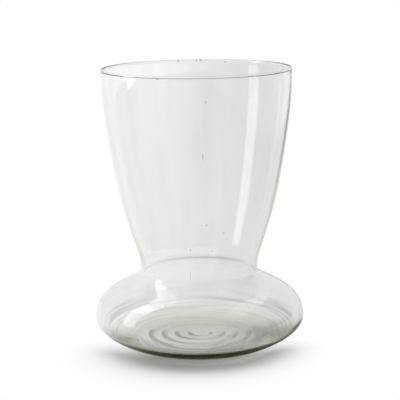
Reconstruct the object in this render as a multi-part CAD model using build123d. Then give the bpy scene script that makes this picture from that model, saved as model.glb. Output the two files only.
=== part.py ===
import os
from math import cos, radians, sin

from build123d import *

# A hyacinth forcing vase: a tall flared cup for the flower bulb, a tight waist that the bulb
# sits on, and a flattened water reservoir below it. The glass is one blown wall. Here that wall
# is a stack of rings that meet face to face, each cut square across the glass.
# Millimetres and degrees, +Z up, origin on the table at the centre of the foot.

# Base: a flat ring to stand on, pushed up in the middle
foot_radius = 32.0            # outer edge of the flat ring
foot_ring_width = 4.0         # flat ring that touches the table
push_up_height = 1.0          # rise of the underside at the centre
push_up_slope = 6.0           # climb of the underside where the push-up leaves the flat ring
base_thickness = 2.5          # glass at the centre of the base
foot_wall = 3.3               # glass at the edge of the base
foot_slope = 0.5              # climb of the underside where it leaves the foot

# Reservoir
reservoir_radius = 53.5       # widest circle
reservoir_height = 14.7       # of the widest circle above the table
reservoir_wall = 1.6
shoulder_slope = 38.6         # climb of the shoulder where it runs into the waist

# Waist
waist_radius = 29.9           # outside, at the tightest circle
waist_height = 39.9           # of the tightest circle above the table
waist_bend = 4.8              # radius of the crease between shoulder and cup
waist_wall = 1.5

# Cup
lower_cup_height = 36.5       # from the waist to the circle where the cup's two curves meet
flare_radius = 39.5           # outside, at that circle
flare_angle = 13.7            # lean of the wall from upright, at that circle
flare_wall = 1.4
upper_cup_height = 62.6       # from that circle to the underside of the lip
rim_radius = 47.8             # outside, at the lip
rim_wall = 1.2
lip_height = 3.0              # straight, fire-polished lip

# Reach of each curve's two ends along its own direction, as a share of the span between them
underside_reach = (0.053, 0.325)    # outer face, from the foot to the widest circle
inside_reach = (0.25, 0.30)         # inner face there: the floor runs on level, so the wall thins
shoulder_reach = (0.435, 0.312)
lower_cup_reach = (0.221, 0.669)
upper_cup_reach = (0.101, 0.338)
push_up_reach = (0.30, 0.40)
floor_reach = (0.35, 0.35)

upright = 90.0
level = 0.0


def heading(angle):
    """Direction in the section plane, counted from straight outwards towards straight up."""
    return Vector(cos(radians(angle)), 0, sin(radians(angle)))


class Station:
    """One circle of the vase: its outer point, the way the wall runs there, and its inner point."""

    def __init__(self, radius, height, angle, wall):
        self.outer = Vector(radius, 0, height)
        self.way = heading(angle)
        self.inner = self.outer + heading(angle + 90) * wall


def sweep_curve(start, start_way, end, end_way, reach):
    """Curve that leaves start along start_way and arrives at end along end_way."""
    span = (end - start).length
    return Bezier(start, start + start_way * span * reach[0], end - end_way * span * reach[1], end)


def ring(edges):
    """Solid of revolution about the vase's axis from the closed outline of one section."""
    return revolve(make_face(edges), Axis.Z)


def wall_ring(lower, upper, outer_reach, inner_reach):
    """Ring of wall between two stations, with one curve for its outer and one for its inner face."""
    return ring([
        sweep_curve(lower.outer, lower.way, upper.outer, upper.way, outer_reach),
        Line(upper.outer, upper.inner),
        sweep_curve(lower.inner, lower.way, upper.inner, upper.way, inner_reach),
        Line(lower.inner, lower.outer),
    ])


# Stations from the table upwards
flare_height = waist_height + lower_cup_height
lip_base_height = flare_height + upper_cup_height
crease_angle = 180 - shoulder_slope
crease_centre = Vector(waist_radius + waist_bend, 0, waist_height)
crease_start = crease_centre - heading(upright - shoulder_slope) * waist_bend

foot = Station(foot_radius, 0, foot_slope, foot_wall)
widest = Station(reservoir_radius, reservoir_height, upright, reservoir_wall)
crease = Station(crease_start.X, crease_start.Z, crease_angle, waist_wall)
waist = Station(waist_radius, waist_height, upright, waist_wall)
flare = Station(flare_radius, flare_height, upright - flare_angle, flare_wall)
lip = Station(rim_radius, lip_base_height, upright, rim_wall)


def make_base():
    """Disc with a flat standing ring, pushed up a little in the middle on both faces."""
    ring_inner = Vector(foot_radius - foot_ring_width, 0, 0)
    underside_centre = Vector(0, 0, push_up_height)
    floor_centre = Vector(0, 0, push_up_height + base_thickness)
    climb = heading(180 - push_up_slope)
    return ring([
        Line(foot.outer, ring_inner),
        sweep_curve(ring_inner, climb, underside_centre, heading(180), push_up_reach),
        Line(underside_centre, floor_centre),
        sweep_curve(floor_centre, heading(level), foot.inner, foot.way, floor_reach),
        Line(foot.inner, foot.outer),
    ])


def make_waist():
    """Crease that the flower bulb sits on: inner and outer face bend about one centre."""
    middle_way = heading(180 + (upright - shoulder_slope) / 2)
    outer_middle = crease_centre + middle_way * waist_bend
    inner_middle = crease_centre + middle_way * (waist_bend + waist_wall)
    return ring([
        ThreePointArc(crease.outer, outer_middle, waist.outer),
        Line(waist.outer, waist.inner),
        ThreePointArc(waist.inner, inner_middle, crease.inner),
        Line(crease.inner, crease.outer),
    ])


def make_rim():
    """Straight lip with a full round on top."""
    straight = heading(upright) * (lip_height - rim_wall / 2)
    outer_top = lip.outer + straight
    inner_top = lip.inner + straight
    crown = (outer_top + inner_top) / 2 + heading(upright) * rim_wall / 2
    return ring([
        Line(lip.outer, outer_top),
        ThreePointArc(outer_top, crown, inner_top),
        Line(inner_top, lip.inner),
        Line(lip.inner, lip.outer),
    ])


sections = {
    "base": make_base(),
    "reservoir": wall_ring(foot, widest, underside_reach, inside_reach),
    "shoulder": wall_ring(widest, crease, shoulder_reach, shoulder_reach),
    "waist": make_waist(),
    "lower_cup": wall_ring(waist, flare, lower_cup_reach, lower_cup_reach),
    "upper_cup": wall_ring(flare, lip, upper_cup_reach, upper_cup_reach),
    "rim": make_rim(),
}

os.makedirs("parts", exist_ok=True)
for name, section in sections.items():
    export_step(section, f"parts/{name}.step")
    print(name, "volume", round(section.volume / 1000, 2), "cm3")
print("height", round(lip_base_height + lip_height, 2), "mm")
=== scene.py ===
import math

import bpy
import numpy as np
from mathutils import Matrix, Vector


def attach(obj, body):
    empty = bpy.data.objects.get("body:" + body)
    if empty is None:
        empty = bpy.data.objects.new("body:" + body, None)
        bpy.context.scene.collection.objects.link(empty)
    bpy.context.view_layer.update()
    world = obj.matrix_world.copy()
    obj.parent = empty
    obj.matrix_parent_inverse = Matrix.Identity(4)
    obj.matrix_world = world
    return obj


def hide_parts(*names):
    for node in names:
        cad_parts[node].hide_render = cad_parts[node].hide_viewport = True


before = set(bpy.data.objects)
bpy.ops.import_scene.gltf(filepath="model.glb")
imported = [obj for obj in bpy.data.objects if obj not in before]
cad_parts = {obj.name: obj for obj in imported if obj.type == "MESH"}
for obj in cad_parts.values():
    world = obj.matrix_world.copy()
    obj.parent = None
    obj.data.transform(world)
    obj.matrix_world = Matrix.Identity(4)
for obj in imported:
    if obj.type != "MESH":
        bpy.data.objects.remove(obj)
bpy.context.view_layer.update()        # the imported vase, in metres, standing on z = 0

scene = bpy.context.scene
scene.view_settings.view_transform = "Standard"
bounces = {"max_bounces": 96, "transmission_bounces": 96, "glossy_bounces": 64}
for kind, count in bounces.items():      # light runs far along a glass wall seen edge on
    setattr(scene.cycles, kind, count)
mm = 0.001
print("frame loaded:", sorted(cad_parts))


class Wire:
    # one socket of a node tree: arithmetic on it adds Math nodes, node() adds any other
    def __init__(self, tree, socket=None):
        self.tree = tree
        self.socket = socket

    def node(self, kind, settings=None, sockets=None, out=0):
        made = self.tree.nodes.new(kind)
        for name, value in (settings or {}).items():
            setattr(made, name, value)
        for name, value in (sockets or {}).items():
            if isinstance(value, Wire):
                self.tree.links.new(value.socket, made.inputs[name])
            else:
                made.inputs[name].default_value = value
        return Wire(self.tree, made.outputs[out]) if len(made.outputs) else made

    def maths(self, operation, first, second=0):
        return self.node("ShaderNodeMath", {"operation": operation}, {0: first, 1: second})

    def __add__(self, other):
        return self.maths("ADD", self, other)

    def __sub__(self, other):
        return self.maths("SUBTRACT", self, other)

    def __rsub__(self, other):
        return self.maths("SUBTRACT", other, self)

    def __mul__(self, other):
        return self.maths("MULTIPLY", self, other)

    def __truediv__(self, other):
        return self.maths("DIVIDE", self, other)

    __radd__ = __add__
    __rmul__ = __mul__

    def atMost(self, other):
        return self.maths("MINIMUM", self, other)

    def atLeast(self, other):
        return self.maths("MAXIMUM", self, other)

    def easeFrom(self, low, high):   # 0 below low, 1 above high, smooth between
        return self.node("ShaderNodeMapRange", {"interpolation_type": "SMOOTHSTEP"},
                         {"Value": self, "From Min": low, "From Max": high})

    def fadeFrom(self, low, high):   # 1 below low, 0 above high
        return 1 - self.easeFrom(low, high)


def newTree(owner):
    owner.use_nodes = True
    owner.node_tree.nodes.clear()
    return Wire(owner.node_tree)


def splitAxes(tree, vector, axes="XYZ"):
    return [tree.node("ShaderNodeSeparateXYZ", {}, {"Vector": vector}, axis) for axis in axes]


def levelLength(tree, x, y):
    level = tree.node("ShaderNodeCombineXYZ", {}, {"X": x, "Y": y})
    return tree.node("ShaderNodeVectorMath", {"operation": "LENGTH"}, {0: level}, "Value")


def softNoise(tree, x, y, z):
    place = tree.node("ShaderNodeCombineXYZ", {}, {"X": x, "Y": y, "Z": z})
    return tree.node("ShaderNodeTexNoise", {}, {"Vector": place, "Scale": 1.0, "Detail": 2.0})


def lightPath(tree, kind):
    return tree.node("ShaderNodeLightPath", {}, {}, kind)


def inMetres(*lengths):
    return [length * mm for length in lengths]


# glass wall

vaseShape = {            # millimetres and degrees; radii and heights come from the CAD nodes
    "footRingWidth": 4.0,
    "pushUpHeight": 1.0,
    "pushUpSlope": 6.0,
    "footWall": 3.3,
    "footSlope": 0.5,
    "reservoirWall": 0.8,
    "shoulderSlope": 38.6,
    "solidWaistWall": 1.5,              # in the CAD; the pale edges in the photo ask for thinner glass
    "creaseWall": 0.7,
    "waistWall": 0.7,
    "waistBend": 4.8,
    "flareAngle": 13.7,
    "flareWall": 0.7,
    "rimWall": 0.7,
    "rimBead": 0.6,                     # radius of the fire-polished bead, which swells inwards
    "underBead": (1.2, 0.4, 0.1),       # rings close below the bead, which keep its edge crisp
    "undersideReach": (0.053, 0.325),   # how far each curve's ends hold their own direction
    "insideReach": (0.25, 0.335),
    "shoulderReach": (0.435, 0.312),
    "creaseReach": (0.351, 0.351),
    "lowerCupReach": (0.221, 0.669),
    "upperCupReach": (0.101, 0.338),
    "pushUpReach": (0.40, 0.30),
    "floorReach": (0.35, 0.35),
    "reservoirRows": 44,                # rings of vertices on each stretch of the section
    "shoulderRows": 36,
    "creaseRows": 12,
    "lowerCupRows": 20,
    "upperCupRows": 24,
    "pushUpRows": 16,
    "floorRows": 48,
    "beadRows": 15,
    "segments": 256,                    # round the axis
}

ripple = {               # rings left in the floor of the base by the blowing
    "pitch": 6.75,
    "height": 0.05,
    "middle": 2.3,                   # the rings' centre lies this far behind the axis
    "fade": (28.0, 33.0),
    "deepSide": 202.0,               # degrees from +X; the rings are deepest towards the left
    "finePitch": 2.3,                # faint drag lines round the rings
    "fineHeight": 0.006,
    "fineSway": 2.0,                 # radians that they swing in and out, twice round
    "fineRise": (30.0, 36.0),
    "fineFade": (36.8, 46.0),
    "topHeight": 12.0,               # the floor ends below this height
}

waviness = {             # blown glass is never quite round: slow waves round the axis and up the wall
    "inside": 0.05,
    "outside": 0.04,
    "rounds": (2, 3, 5, 7, 9),       # waves in one turn
    "drift": 25.0,                   # radians per metre of height, at most
    "rise": (4.0, 30.0),             # none below the first height, full above the second
    "seed": 7,
}


def ringOf(node):
    # outer and inner radius, lowest and highest point of a CAD node, from its own vertices
    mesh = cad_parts[node].data
    points = np.empty(len(mesh.vertices) * 3, np.float32)
    mesh.vertices.foreach_get("co", points)
    x, y, z = points.reshape(-1, 3).T.astype(float)
    radius = np.hypot(x, y)
    return {"out": radius.max(), "in": radius.min(), "low": z.min(), "high": z.max()}


upright = 90.0           # headings of a section in the (radius, height) plane, in degrees
inwards = 180.0
downright = 270.0


def heading(angle):      # unit direction in that plane, counted from outwards towards up
    return np.array([math.cos(math.radians(angle)), math.sin(math.radians(angle))])


def station(radius, height, angle, wall):
    # one circle of the vase: its outer point, the way the wall runs there, and its inner point
    outer = np.array([radius, height])
    return {"outer": outer, "way": heading(angle), "inner": outer + heading(angle + upright) * wall * mm}


def spanCurve(start, startWay, end, endWay, reach, count):
    # cubic curve that leaves start along startWay and arrives at end along endWay
    span = np.linalg.norm(end - start)
    first = start + startWay * span * reach[0]
    second = end - endWay * span * reach[1]
    t = np.linspace(0, 1, count)[:, None]
    return (1 - t)**3 * start + 3 * (1 - t)**2 * t * first + 3 * (1 - t) * t**2 * second + t**3 * end


def arc(centre, radius, startAngle, endAngle, count):
    # points at even angles on a circle
    angle = np.radians(np.linspace(startAngle, endAngle, count))
    return centre + radius * np.stack([np.cos(angle), np.sin(angle)], 1)


def wallStations(s):
    # the circles from the foot up to the lip
    base, reservoir, waistRing = ringOf("base"), ringOf("reservoir"), ringOf("waist")
    lowerCup, upperCup, rim = ringOf("lower_cup"), ringOf("upper_cup"), ringOf("rim")
    waistRadius, bend = waistRing["in"] + s["solidWaistWall"] * mm, s["waistBend"] * mm
    creaseCentre = np.array([waistRadius + bend, waistRing["high"]])
    creaseStart = creaseCentre + heading(downright - s["shoulderSlope"]) * bend
    return [
        station(base["out"], base["low"], s["footSlope"], s["footWall"]),
        station(reservoir["out"], reservoir["high"], upright, s["reservoirWall"]),
        station(*creaseStart, inwards - s["shoulderSlope"], s["creaseWall"]),
        station(waistRadius, waistRing["high"], upright, s["waistWall"]),
        station(lowerCup["out"], upperCup["low"], upright - s["flareAngle"], s["flareWall"]),
        station(rim["out"], rim["low"], upright, s["rimWall"]),
    ]


def wallCurve(stations, side, footReach, s):
    # one face of the wall, outer or inner: a chain of curves through the stations
    reaches = [footReach, s["shoulderReach"], s["creaseReach"], s["lowerCupReach"], s["upperCupReach"]]
    stretches = ["reservoir", "shoulder", "crease", "lowerCup", "upperCup"]
    curves = [spanCurve(a[side], a["way"], b[side], b["way"], reach, s[stretch + "Rows"])
              for a, b, reach, stretch in zip(stations, stations[1:], reaches, stretches)]
    return np.concatenate([curves[0]] + [curve[1:] for curve in curves[1:]])


def vaseProfile(s):
    # outer face from the middle of the underside up and over the bead, inner face from the floor up
    base, rim = ringOf("base"), ringOf("rim")
    stations = wallStations(s)
    foot = stations[0]
    ringInner = np.array([base["out"] - s["footRingWidth"] * mm, base["low"]])
    underside = np.array([0.0, base["low"] + s["pushUpHeight"] * mm])
    floorTop = np.array([0.0, base["high"]])
    pushUp = spanCurve(underside, heading(0), ringInner, heading(-s["pushUpSlope"]),
                       s["pushUpReach"], s["pushUpRows"])
    floor = spanCurve(floorTop, heading(0), foot["inner"], foot["way"], s["floorReach"], s["floorRows"])
    bead, rimWall = inMetres(s["rimBead"], s["rimWall"])
    beadCentre = np.array([rim["out"] - bead, rim["high"] - bead])
    beadEnd = 360 - math.degrees(math.acos((bead - rimWall) / bead))
    crown = arc(beadCentre, bead, 0, beadEnd, s["beadRows"])
    underBead = crown[-1] - np.array([[0, drop] for drop in inMetres(*s["underBead"])])
    outer = np.concatenate([pushUp, wallCurve(stations, "outer", s["undersideReach"], s), crown])
    inner = np.concatenate([floor, wallCurve(stations, "inner", s["insideReach"], s), underBead])
    return outer, inner


def revolve(name, radius, height, angle):
    # closes a grid of rings (rows) and angles (columns); the first and the last row lie on the
    # axis and become single poles, every other row a ring of vertices
    segments = len(angle)
    x, y = radius * np.cos(angle), radius * np.sin(angle)
    rings = np.stack([x, y, height], -1)[1:-1].reshape(-1, 3)
    poles = np.array([[0, 0, height[0].mean()], [0, 0, height[-1].mean()]])
    points = np.concatenate([rings, poles])
    here = np.arange(segments)
    beside = (here + 1) % segments
    lower = np.arange(len(radius) - 3)[:, None] * segments
    upper = lower + segments
    quads = np.stack([lower + here, lower + beside, upper + beside, upper + here], -1)
    top = (len(radius) - 3) * segments
    firstPole, lastPole = len(rings), len(rings) + 1
    startFan = np.stack([np.full(segments, firstPole), beside, here], -1)
    endFan = np.stack([top + here, top + beside, np.full(segments, lastPole)], -1)
    return meshFrom(name, points, [quads.reshape(-1, 4), startFan, endFan])


def meshFrom(name, points, faceGroups):
    # each group of faces is an array of vertex numbers, one row for a face
    mesh = bpy.data.meshes.new(name)
    corners = np.concatenate([group.ravel() for group in faceGroups])
    sizes = np.concatenate([np.full(len(group), group.shape[1]) for group in faceGroups])
    mesh.vertices.add(len(points))
    mesh.vertices.foreach_set("co", points.astype(np.float32).ravel())
    mesh.loops.add(len(corners))
    mesh.loops.foreach_set("vertex_index", corners.astype(np.int32))
    mesh.polygons.add(len(sizes))
    mesh.polygons.foreach_set("loop_start", (np.cumsum(sizes) - sizes).astype(np.int32))
    mesh.polygons.foreach_set("use_smooth", np.ones(len(sizes), bool))
    mesh.update(calc_edges=True)
    mesh.validate()
    piece = bpy.data.objects.new(name, mesh)
    scene.collection.objects.link(piece)
    return piece


def ease(value, low, high):      # 0 below low, 1 above high, smooth between
    t = np.clip((value - low) / (high - low), 0, 1)
    return t * t * (3 - 2 * t)


def rippleHeight(radius, angle, r):
    # waves in the floor: minus the sine of the radius, so that each ring's slope is steepest at a
    # whole number of pitches; the waves fade at the foot and are deep on one side only
    deep = ease(np.cos(angle - math.radians(r["deepSide"])), 0, 1)
    ringRadius = np.hypot(radius * np.cos(angle), radius * np.sin(angle) - r["middle"] * mm)
    wave = -np.sin(2 * math.pi * ringRadius / (r["pitch"] * mm))
    wave = wave * deep * (1 - ease(radius, *inMetres(*r["fade"])))
    # drag lines: a cosine of the radius whose phase sways with the angle
    fine = np.cos(2 * math.pi * radius / (r["finePitch"] * mm) + r["fineSway"] * np.sin(2 * angle))
    fine = fine * ease(radius, *inMetres(*r["fineRise"])) * (1 - ease(radius, *inMetres(*r["fineFade"])))
    return (r["height"] * wave + r["fineHeight"] * fine) * mm


def waveDepth(height, angle, depth, seed, w):
    # sum of cosines round the axis, each turning slowly with height; none at the table
    dice = np.random.default_rng(seed)
    total = np.zeros(np.broadcast(height, angle).shape)
    for count in w["rounds"]:
        drift, start = dice.uniform(-w["drift"], w["drift"]), dice.uniform(0, 2 * math.pi)
        total = total + np.cos(count * angle + drift * height + start) / math.sqrt(count)
    return depth * mm * total * ease(height, *inMetres(*w["rise"]))


def makeVase(s, r, w):
    # the section turned about the axis; radius and height depend on the row and a little on the angle
    outer, inner = vaseProfile(s)
    profile = np.concatenate([outer, inner[::-1]])
    isInner = np.concatenate([np.zeros(len(outer), bool), np.ones(len(inner), bool)])
    leastStep = 1e-7                 # points closer than this are one
    step = np.linalg.norm(np.diff(profile, axis=0), axis=1)
    keep = np.concatenate([[True], step > leastStep])
    profile, isInner = profile[keep], isInner[keep][:, None]
    angle = np.arange(s["segments"]) * (2 * math.pi / s["segments"])
    radius = np.repeat(profile[:, :1], len(angle), axis=1)
    height = np.repeat(profile[:, 1:], len(angle), axis=1)
    innerWave = waveDepth(height, angle, w["inside"], w["seed"], w)
    outerWave = waveDepth(height, angle, w["outside"], w["seed"] + 1, w)
    isFloor = isInner & (height < r["topHeight"] * mm)
    height = height + np.where(isFloor, rippleHeight(radius, angle, r), 0)
    radius = radius + np.where(isInner, innerWave, outerWave)
    return revolve("vase_glass", radius, height, angle)


# tones in the glass, some of them painted shade, as shares of its colour that they take away; lengths in
# millimetres

ringShadeAndDrag = {            # painted shade at the edges of the rings in the base
    "sides": ((202.0, 0.72, 0.95, 0.80),     # heading, cosine off it where the tone starts and
              (215.0, 0.30, 0.95, 0.35),     # where it is full, share
              (-15.0, 0.90, 0.99, 0.60),
              (270.0, 0.20, 0.90, 0.38)),
    "lineRise": (0.40, 0.88),        # in pitches, from ring to ring
    "lineFade": (0.95, 1.0),
    "rise": (3.0, 7.0),              # from the rings' centre
    "fade": (29.0, 33.0),
    "leastRadius": 0.01,             # so that nothing is divided by zero on the axis
    "drag": 0.34,                    # arcs dragged round the base
    "dragTurn": 1.2,                 # more makes them shorter
    "dragSpan": (0.42, 0.75),
}


def ringShadeAndDragTone(tree, x, y, f, r):
    # painted shade: each ring is darkest just inside a whole number of pitches, and most towards a few sides
    behind = y - r["middle"] * mm
    away = levelLength(tree, x, behind).atLeast(f["leastRadius"] * mm)
    cosine, sine = x / away, behind / away
    saw = tree.maths("FRACT", away / (r["pitch"] * mm))
    line = saw.easeFrom(*f["lineRise"]) * saw.fadeFrom(*f["lineFade"])
    depth = 0
    for side, low, high, share in f["sides"]:
        lean = cosine * math.cos(math.radians(side)) + sine * math.sin(math.radians(side))
        depth = lean.easeFrom(low, high) * share + depth
    rings = line * depth * away.easeFrom(*inMetres(*f["rise"])) * away.fadeFrom(*inMetres(*f["fade"]))
    # drag: noise stretched along the rings
    drag = softNoise(tree, away * (1 / mm), cosine * f["dragTurn"], sine * f["dragTurn"])
    return rings + drag.easeFrom(*f["dragSpan"]) * f["drag"]


shearMark = {            # straight line left in the base where the gather was cut
    "start": (2.0, -32.0),
    "end": (17.0, -1.0),
    "halfWidth": (0.1, 0.6),
    "fadeIn": 3.0,
    "fadeOut": 0.9,                  # share of its length
    "share": 0.4,
}


def shearTone(tree, x, y, f):
    (x0, y0), (x1, y1) = f["start"], f["end"]
    length = math.hypot(x1 - x0, y1 - y0)
    u, v = (x1 - x0) / length, (y1 - y0) / length
    along = (x - x0 * mm) * u + (y - y0 * mm) * v
    across = tree.maths("ABSOLUTE", (x - x0 * mm) * v - (y - y0 * mm) * u)
    ends = along.easeFrom(0, f["fadeIn"] * mm) * along.fadeFrom(f["fadeOut"] * length * mm, length * mm)
    return across.fadeFrom(*inMetres(*f["halfWidth"])) * ends * f["share"]


cordStreaks = {          # faint upright streaks in the wall
    "share": 0.035,
    "across": 110,                   # noise per metre: round the wall,
    "upwards": 7,                    # and up it
    "span": (0.45, 0.75),
}


def cordTone(tree, x, y, z, f):
    streaks = softNoise(tree, x * f["across"], y * f["across"], z * f["upwards"])
    return streaks.easeFrom(*f["span"]) * f["share"]


creaseShade = {           # painted shade behind the waist
    "height": 37.4,
    "reach": 1.3,
    "back": (12.0, 28.0),
    "leftShare": 0.7,                # of the tone on the right
    "leftSpan": (-20.0, 10.0),
    "share": 0.34,
}


# painted shade at the crease behind the waist
def creaseShadeTone(tree, x, y, z, f):
    fold = tree.maths("ABSOLUTE", z - f["height"] * mm).easeFrom(f["reach"] * mm, 0)
    sideways = f["leftShare"] + x.easeFrom(*inMetres(*f["leftSpan"])) * (1 - f["leftShare"])
    return fold * y.easeFrom(*inMetres(*f["back"])) * sideways * f["share"]


heelShade = {             # painted shade: dark line along the front of the base, on the outer face alone
    "height": 7.7,                   # of its upper edge,
    "climbs": ((12.0, 36.0, 1.4), (36.0, 52.0, 5.5)),    # which rises between these x, by this much
    "edge": (0.2, 1.0),              # over which it fades
    "lowShare": 0.93,                # the line is a little paler well below it
    "lowSpan": (-2.8, -0.8),
    "coneRadius": 36.9,              # a cone between the two faces: radius at the table,
    "coneSlope": 1.55,               # and gain in radius with height
    "coneEdge": (-1.1, -0.5),
    "outerEdge": (51.2, 51.6),       # all beyond this radius is outer face
    "front": (-20.0, 10.0),          # it fades towards the back,
    "left": (-48.0, -22.0),          # starts on the left,
    "right": (20.0, 40.0),           # and is paler on the right
    "rightLoss": 0.17,
    "share": 0.97,
}


# painted shade along the front of the base
def heelShadeTone(tree, x, y, z, f):
    edgeHeight = f["height"] * mm
    for start, end, rise in f["climbs"]:
        edgeHeight = x.easeFrom(start * mm, end * mm) * (rise * mm) + edgeHeight
    over = z - edgeHeight
    paler = f["lowShare"] + over.easeFrom(*inMetres(*f["lowSpan"])) * (1 - f["lowShare"])
    heel = over.fadeFrom(*inMetres(*f["edge"])) * paler
    radius = levelLength(tree, x, y)
    outside = (radius - z * f["coneSlope"] - f["coneRadius"] * mm).easeFrom(*inMetres(*f["coneEdge"]))
    outside = outside.atLeast(radius.easeFrom(*inMetres(*f["outerEdge"])))
    heel = heel * outside * y.fadeFrom(*inMetres(*f["front"])) * x.easeFrom(*inMetres(*f["left"]))
    return heel * (f["share"] - x.easeFrom(*inMetres(*f["right"])) * f["rightLoss"])


seedMarks = {            # small bubbles and specks
    "edge": (0.3, 1.4),              # squared distance, in half widths
    "sideSpan": 5.0,                 # in front of or behind the axis, from none to the full tone
    # x, height, half width, half height, front (-1) or back (1) wall, share
    "seeds": ((2.5, 104.0, 0.25, 2.3, -1, 0.28), (3.9, 69.4, 0.45, 0.45, -1, 0.34),
              (12.1, 64.7, 0.6, 0.4, -1, 0.30), (6.5, 55.4, 0.4, 0.4, -1, 0.30),
              (-4.1, 56.1, 0.3, 0.7, -1, 0.40), (-4.3, 42.0, 0.25, 3.4, -1, 0.14),
              (4.1, 129.9, 0.35, 0.45, -1, 0.30), (-18.1, 140.8, 1.0, 0.4, -1, 0.38),
              (-9.8, 141.6, 0.6, 0.7, 1, 0.34), (0.1, 141.6, 0.5, 0.7, 1, 0.30),
              (2.3, 141.6, 0.6, 0.7, 1, 0.34), (15.3, 140.6, 0.9, 0.5, 1, 0.32)),
}


def seedTones(x, y, z, f):
    for seedX, seedZ, halfWidth, halfHeight, side, share in f["seeds"]:
        sideways, upwards = (x - seedX * mm) / (halfWidth * mm), (z - seedZ * mm) / (halfHeight * mm)
        spot = (sideways * sideways + upwards * upwards).fadeFrom(*f["edge"])
        yield spot * (y * side).easeFrom(0, f["sideSpan"] * mm) * share


glassFinish = {
    "ior": 1.51,
    "roughness": 0.0,
    "absorptionColour": (0.87, 0.87, 0.83, 1),
    "absorptionDensity": 120.0,
    "clear": (1.0, 1.0, 0.995, 1),       # wall
    "thick": (0.985, 0.985, 0.945, 1),   # base, where the glass gathers
    "thickSpan": (3.0, 6.0),             # above the table
    "floorRise": (1.8, 2.6),             # the upper face of the base lies between these heights
    "floorFade": (10.0, 14.0),
    "floorDarkest": 0.8,
}


def makeGlass(f):
    material = bpy.data.materials.new("clear_blown_glass")
    tree = newTree(material)
    x, y, z = splitAxes(tree, tree.node("ShaderNodeTexCoord", {}, {}, "Object"))
    onFloor = z.easeFrom(*inMetres(*f["floorRise"])) * z.fadeFrom(*inMetres(*f["floorFade"]))
    # painted shade at the ring edges, with the drag arcs and the shear mark
    ringShadeAndMarks = ringShadeAndDragTone(tree, x, y, ringShadeAndDrag, ripple) + shearTone(tree, x, y, shearMark)
    tone = 1 - onFloor * ringShadeAndMarks.atMost(f["floorDarkest"])
    tone = tone * (1 - cordTone(tree, x, y, z, cordStreaks))
    # painted shade behind the waist and along the front of the base
    tone = tone * (1 - creaseShadeTone(tree, x, y, z, creaseShade)) * (1 - heelShadeTone(tree, x, y, z, heelShade))
    for seed in seedTones(x, y, z, seedMarks):
        tone = tone * (1 - seed)
    thin = z.easeFrom(*inMetres(*f["thickSpan"]))
    body = tree.node("ShaderNodeMix", {"data_type": "RGBA"}, {0: thin, 6: f["thick"], 7: f["clear"]}, 2)
    colour = tree.node("ShaderNodeVectorMath", {"operation": "SCALE"}, {0: body, "Scale": tone})
    bsdf = tree.node("ShaderNodeBsdfPrincipled", {}, {
        "Base Color": colour,
        "Roughness": f["roughness"],
        "IOR": f["ior"],
        "Transmission Weight": 1.0,
    })
    tint = tree.node("ShaderNodeVolumeAbsorption", {}, {
        "Color": f["absorptionColour"],
        "Density": f["absorptionDensity"],
    })
    tree.node("ShaderNodeOutputMaterial", {}, {"Surface": bsdf, "Volume": tint})
    return material


vase = makeVase(vaseShape, ripple, waviness)
vase.data.materials.append(makeGlass(glassFinish))
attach(vase, "root")
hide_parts("base", "reservoir", "shoulder", "waist", "lower_cup", "upper_cup", "rim")
print("vase:", len(vase.data.vertices), "vertices")


# floor and room, in metres; a span is where a change starts and where it is complete

floorLook = {
    "size": 8.0,
    "drop": 0.0002,                  # below the foot, so that the two faces don't meet
    "colour": 0.86,
    "footShade": 0.75,              # painted contact shade: share of that under the foot
    "footShadeSpan": (0.029, 0.040),
    "shadowCentre": (-0.003, -0.004, 0.0),
    "shadowSpan": (0.024, 0.096),    # from the shadow's own light to white paper
    "besideSpan": (-0.032, 0.004),   # the same beside the vase, from the front backwards
    # yellowish tint of the painted contact shadow, as the glass shows it
    "contactShadeColour": (1.0, 1.0, 0.72, 1),
}

paintedShadeThrough = {         # painted light and shade on the paper as the glass shows it: paler on the left, brighter far right, painted shadows under and round the vase
    "left": 0.945,
    "right": 0.72,
    "acrossSpan": (-0.11, 0.11),
    "farRight": 1.05,
    "farRightSpan": (0.12, 0.46),
    "under": 0.73,                   # painted shadows: share of that under the vase,
    "underSpan": (0.030, 0.060),
    "rightSide": 0.55,               # close by on the right,
    "rightSideSpan": (0.030, 0.050),
    "rightSideBack": (0.010, 0.042),
    "rightSideReach": (0.080, 0.110),
    "rightFront": 0.45,              # under the foot: on the right,
    "rightFrontSpan": (0.0, 0.050),
    "rightFrontReach": (0.030, 0.060),
    "front": 0.74,                   # towards the front,
    "frontSpan": (-0.004, -0.026),
    "frontReach": (0.034, 0.042),
    "leftFront": 0.50,               # and on the left,
    "leftFrontSpan": (-0.026, -0.044),
    "leftFrontReach": (0.038, 0.054),
    "contact": 0.12,                 # and in the painted dark ring beside the foot, in front
    "contactRise": (0.028, 0.036),
    "contactFade": (0.038, 0.062),
    "contactTurn": 0.5,
    "contactBack": (-0.020, 0.012),
    "contactLeft": 0.3,              # the ring is paler by this much on the left
    "contactLeftSpan": (-0.008, -0.035),
}


# painted contact shadow: a dark ring beside the foot, in front, paler on the left
def contactShadeRing(across, depth, away, p):
    ahead = (depth - across * p["contactTurn"]).fadeFrom(*p["contactBack"])
    ring = away.easeFrom(*p["contactRise"]) * away.fadeFrom(*p["contactFade"]) * ahead
    return ring * (1 - across.easeFrom(*p["contactLeftSpan"]) * p["contactLeft"])


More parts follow.
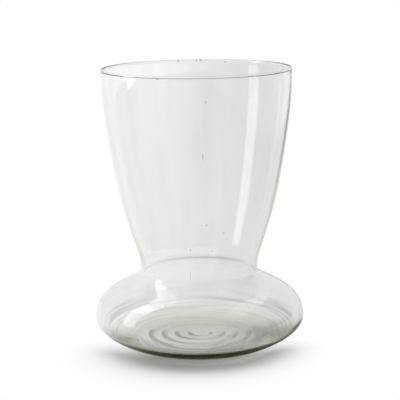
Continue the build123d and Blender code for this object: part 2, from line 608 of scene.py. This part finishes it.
# painted light and shade: darker towards the right, brighter far right, with painted shadows under and round
# the vase
def throughShadeTone(across, depth, away, ring, p):
    through = p["left"] - across.easeFrom(*p["acrossSpan"]) * (p["left"] - p["right"])
    through = through.atLeast(across.easeFrom(*p["farRightSpan"]) * p["farRight"])
    through = through * (p["under"] + away.easeFrom(*p["underSpan"]) * (1 - p["under"]))
    rightSide = across.easeFrom(*p["rightSideSpan"]) * depth.fadeFrom(*p["rightSideBack"])
    paintedShades = {
        "rightSide": rightSide * away.fadeFrom(*p["rightSideReach"]),
        "rightFront": (across - depth).easeFrom(*p["rightFrontSpan"]) * away.fadeFrom(*p["rightFrontReach"]),
        "front": depth.easeFrom(*p["frontSpan"]) * away.fadeFrom(*p["frontReach"]),
        "leftFront": (across + depth).easeFrom(*p["leftFrontSpan"]) * away.fadeFrom(*p["leftFrontReach"]),
        "contact": ring,
    }
    for name, patch in paintedShades.items():
        through = through * (1 - patch * (1 - p[name]))
    return through


def makeFloor(f, p):
    half = f["size"] / 2
    points = np.array([[-half, -half, -f["drop"]], [half, -half, -f["drop"]],
                       [half, half, -f["drop"]], [-half, half, -f["drop"]]])
    floor = meshFrom("floor", points, [np.array([[0, 1, 2, 3]])])
    material = bpy.data.materials.new("pale_floor")
    tree = newTree(material)
    place = tree.node("ShaderNodeTexCoord", {}, {}, "Object")
    across, depth = splitAxes(tree, place, "XY")
    away = tree.node("ShaderNodeVectorMath", {"operation": "DISTANCE"},
                     {0: place, 1: f["shadowCentre"]}, "Value")
    camera = lightPath(tree, "Is Camera Ray")
    glassRay = (lightPath(tree, "Is Glossy Ray") + lightPath(tree, "Is Transmission Ray")).atMost(1)
    firstHand = 1 - lightPath(tree, "Diffuse Depth").atMost(1)     # not yet scattered
    ring = contactShadeRing(across, depth, away, p)
    through = throughShadeTone(across, depth, away, ring, p)
    # the paper's colour, with painted contact shade under the foot
    grey = (f["footShade"] + away.easeFrom(*f["footShadeSpan"]) * (1 - f["footShade"])) * f["colour"]
    paper = tree.node("ShaderNodeBsdfDiffuse", {}, {"Color": grey})
    # the glass sees the painted contact shadow with a yellowish tint
    tone = tree.node("ShaderNodeMix", {"data_type": "RGBA"},
                     {0: ring * (1 - camera), 6: (1, 1, 1, 1), 7: f["contactShadeColour"]}, 2)
    glow = tree.node("ShaderNodeEmission", {}, {"Color": tone, "Strength": camera + (1 - camera) * through})
    # the camera sees white paper outside the shadow, and the glass sees the paper with painted light and
    # shade
    bare = away.easeFrom(*f["shadowSpan"]).atLeast(depth.easeFrom(*f["besideSpan"]))
    white = (camera * bare + glassRay * (1 - camera)) * firstHand
    both = tree.node("ShaderNodeMixShader", {}, {0: white, 1: paper, 2: glow})
    tree.node("ShaderNodeOutputMaterial", {}, {"Surface": both})
    floor.data.materials.append(material)


roomLook = {
    "ambient": 0.48,                 # what lights the floor: from all round,
    "overhead": 2.08,                # and from above and behind
    "overheadWay": (0.12, 0.5, 0.86),
    "dim": 0.24,                     # the room that the glass mirrors
    "back": 0.84,                    # its lit end, behind the vase,
    "backSpan": (0.40, 0.80),
    "left": 0.76,                    # its left side,
    "leftSpan": (-0.1, -0.7),
    "top": 0.60,                     # and its ceiling
    "topSpan": (0.75, 0.95),
}


def makeRoom(r):
    world = bpy.data.worlds.new("studio")
    scene.world = world
    tree = newTree(world)
    way = tree.node("ShaderNodeTexCoord", {}, {}, "Generated")
    wayX, wayY, wayZ = splitAxes(tree, way)
    back = wayY.easeFrom(*r["backSpan"]) * (r["back"] - r["dim"])
    left = wayX.easeFrom(*r["leftSpan"]) * (r["left"] - r["dim"])
    top = wayZ.easeFrom(*r["topSpan"]) * (r["top"] - r["dim"])
    room = back.atLeast(left).atLeast(top) + r["dim"]
    above = tree.node("ShaderNodeVectorMath", {"operation": "DOT_PRODUCT"},
                      {0: way, 1: r["overheadWay"]}, "Value").atLeast(0)
    sky = above * above * r["overhead"] + r["ambient"]
    camera = lightPath(tree, "Is Camera Ray")
    scattered = lightPath(tree, "Diffuse Depth").atMost(1)
    strength = camera + (1 - camera) * (scattered * sky + (1 - scattered) * room)
    shown = tree.node("ShaderNodeBackground", {}, {"Color": (1, 1, 1, 1), "Strength": strength})
    tree.node("ShaderNodeOutputWorld", {}, {"Surface": shown})


leftStrip = {            # one bent strip lamp on the left, which the glass mirrors
    "width": 0.116,
    "target": (0, 0, 0.03),
    "corners": ((-0.439, -0.0857, 0.085), (-0.4221, -0.0656, 0.135), (-0.379, -0.014, 0.263),
                (-0.298, 0.071, 0.3545), (-0.217, 0.156, 0.446), (-0.120, 0.260, 0.560)),
    "radiance": {"left_foot": 1.6, "left_box": 2.2, "left_bend": 1.5, "left_top": 2.5, "left_end": 1.2},
}


def addPanel(name, start, end, width, radiance, target):
    # strip lamp whose long side runs from start to end, turned about that line to face the target
    start, end = Vector(start), Vector(end)
    centre = (start + end) / 2
    along = (end - start).normalized()
    back = centre - Vector(target)
    back = (back - along * back.dot(along)).normalized()
    across = along.cross(back)
    lamp = bpy.data.lights.new(name, "AREA")
    lamp.shape = "RECTANGLE"
    lamp.size, lamp.size_y = width, (end - start).length
    lamp.energy = radiance * math.pi * lamp.size * lamp.size_y     # watts
    piece = bpy.data.objects.new(name, lamp)
    piece.matrix_world = Matrix.Translation(centre) @ Matrix((across, along, back)).transposed().to_4x4()
    piece.visible_diffuse = False        # the sky alone lights the floor
    scene.collection.objects.link(piece)


def addStrip(s):
    stretches = zip(s["radiance"].items(), s["corners"], s["corners"][1:])
    for (name, radiance), start, end in stretches:
        addPanel(name, start, end, s["width"], radiance, s["target"])


makeFloor(floorLook, paintedShadeThrough)
makeRoom(roomLook)
addStrip(leftStrip)
print("stage and lamps placed")


# camera

cameraPose = {           # fitted to the photo's outline and to the ellipses of the base's rings
    "distance": 0.6364,              # from the axis, level
    "height": 0.1998,
    "sideStep": 0.0009,
    "pitch": 11.145,
    "roll": 0.7856,
    "focalPixels": 1272.93,
    "framePixels": 400,
    "sensorWidth": 36.0,
    "sightEnd": 50.0,
}


def makeCamera(c):
    data = bpy.data.cameras.new("camera")
    data.sensor_width = c["sensorWidth"]
    data.lens = c["focalPixels"] / c["framePixels"] * c["sensorWidth"]
    data.clip_end = c["sightEnd"]
    piece = bpy.data.objects.new("camera", data)
    scene.collection.objects.link(piece)
    pitch, roll = math.radians(c["pitch"]), math.radians(c["roll"])
    forward = Vector((0, math.cos(pitch), -math.sin(pitch)))
    level = Vector((1, 0, 0))
    above = Vector((0, math.sin(pitch), math.cos(pitch)))
    right = level * math.cos(roll) - above * math.sin(roll)
    up = level * math.sin(roll) + above * math.cos(roll)
    place = Vector((c["sideStep"], -c["distance"], c["height"]))
    turn = Matrix((right, up, -forward)).transposed()
    piece.matrix_world = Matrix.Translation(place) @ turn.to_4x4()
    scene.camera = piece


makeCamera(cameraPose)
print("camera set")
